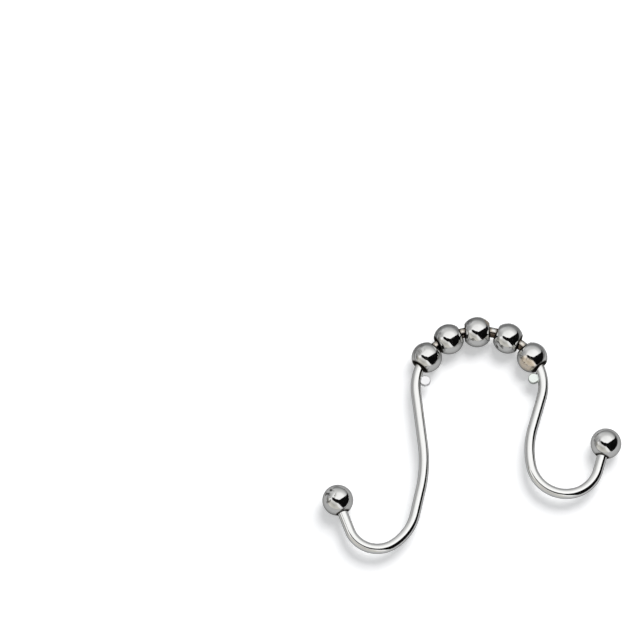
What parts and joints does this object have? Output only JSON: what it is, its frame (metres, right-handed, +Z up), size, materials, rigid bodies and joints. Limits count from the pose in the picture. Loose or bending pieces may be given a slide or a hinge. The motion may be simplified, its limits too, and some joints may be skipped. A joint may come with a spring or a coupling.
{
  "type": "shower curtain hook",
  "caption": "Double shower curtain hook: a bent chromed wire whose arch carries roller balls over the rod, with two open hooks that end in balls.",
  "frame": {"origin": "under the middle of the outline, on the surface that the balls lie on", "axes": "the hook lies flat: +Z up, +Y towards the crown of the arch, -X towards the long leg's hook; the rod runs along Z through the arch"},
  "size_m": [0.0804, 0.0672, 0.0082],
  "materials": {
    "wire": "bright chrome plate on steel wire, a little warm nickel on the arch",
    "tip_ball": "bright chrome plate on steel",
    "roller": "bright chrome plate on steel, warm nickel round the bores"
  },
  "bodies": {
    "hook": {"hook_wire": "wire", "long_tip_ball": "tip_ball", "short_tip_ball": "tip_ball"},
    "roller_1": {"roller_1": "roller"},
    "roller_2": {"roller_2": "roller"},
    "roller_3": {"roller_3": "roller"},
    "roller_4": {"roller_4": "roller"},
    "roller_5": {"roller_5": "roller"}
  },
  "joints": [
    {"name": "roller_1_spin", "type": "hinge", "parent": "hook", "child": "roller_1", "pos_m": [-0.01182, 0.02214, 0.00413], "axis": [-0.5801, -0.8146, 0], "continuous": true},
    {"name": "roller_2_spin", "type": "hinge", "parent": "hook", "child": "roller_2", "pos_m": [-0.00578, 0.02744, 0.00413], "axis": [-0.8823, -0.4707, 0], "continuous": true},
    {"name": "roller_3_spin", "type": "hinge", "parent": "hook", "child": "roller_3", "pos_m": [0.00199, 0.0295, 0.00413], "axis": [-0.9996, -0.0281, 0], "continuous": true},
    {"name": "roller_4_spin", "type": "hinge", "parent": "hook", "child": "roller_4", "pos_m": [0.01031, 0.02766, 0.00413], "axis": [0.8949, -0.4463, 0], "continuous": true},
    {"name": "roller_5_spin", "type": "hinge", "parent": "hook", "child": "roller_5", "pos_m": [0.01679, 0.02212, 0.00413], "axis": [0.579, -0.8153, 0], "continuous": true}
  ]
}
